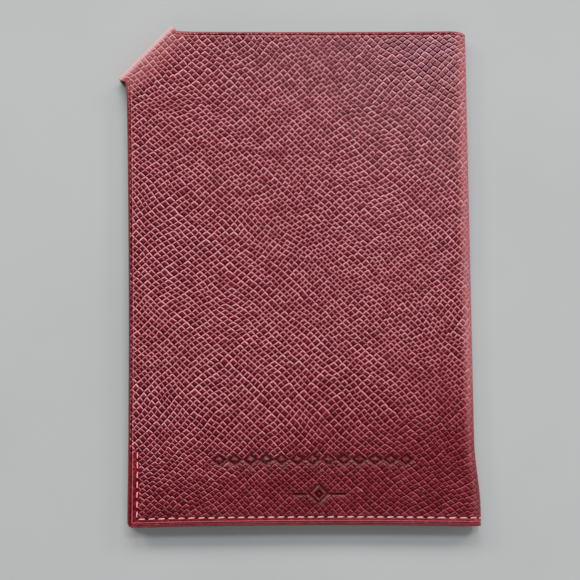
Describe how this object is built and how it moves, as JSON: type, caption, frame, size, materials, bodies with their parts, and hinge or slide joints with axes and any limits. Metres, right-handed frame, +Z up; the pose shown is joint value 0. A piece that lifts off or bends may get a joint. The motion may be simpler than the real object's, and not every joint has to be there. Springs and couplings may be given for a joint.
{
  "type": "passport holder wallet",
  "caption": "Leather passport holder that opens like a book, with a low bottom pocket and a turned-in diagonal corner tab on each cover.",
  "frame": {"origin": "centre of the closed holder's underside, measured over its whole box, tab overhang included", "axes": "+X from the fore edge to the spine, +Y from the bottom edge to the top edge, +Z up through the closed covers from the back cover to the front cover"},
  "size_m": [0.0996, 0.1432, 0.007],
  "materials": {
    "outer_leather": "cross-grain embossed, satin",
    "pocket_leather": "cross-grain embossed, satin",
    "lining_leather": "smooth, matte",
    "board": "matte",
    "thread": "waxed, satin"
  },
  "bodies": {
    "back_cover": {"back_leather": "outer_leather", "back_corner_tab": "outer_leather", "back_board": "board", "back_lining": "lining_leather", "back_pocket": "pocket_leather", "back_outer_stitches": "thread", "back_inner_stitches": "thread"},
    "spine": {"spine_leather": "outer_leather", "spine_strip": "board", "spine_lining": "lining_leather", "spine_pocket": "pocket_leather", "spine_outer_stitches": "thread", "spine_inner_stitches": "thread"},
    "front_cover": {"front_leather": "outer_leather", "front_corner_tab": "outer_leather", "front_board": "board", "front_lining": "lining_leather", "front_pocket": "pocket_leather", "front_outer_stitches": "thread", "front_inner_stitches": "thread"}
  },
  "joints": [
    {"name": "spine_fold_back", "type": "hinge", "parent": "back_cover", "child": "spine", "pos_m": [0.04907, 0, 0.00075], "axis": [0, 1, 0], "range_deg": [0, 90]},
    {"name": "spine_fold_front", "type": "hinge", "parent": "spine", "child": "front_cover", "pos_m": [0.04907, 0, 0.00625], "axis": [0, 1, 0], "range_deg": [0, 90]}
  ],
  "couplings": [
    {"joint": "spine_fold_front", "follows": "spine_fold_back", "ratio": 1}
  ]
}
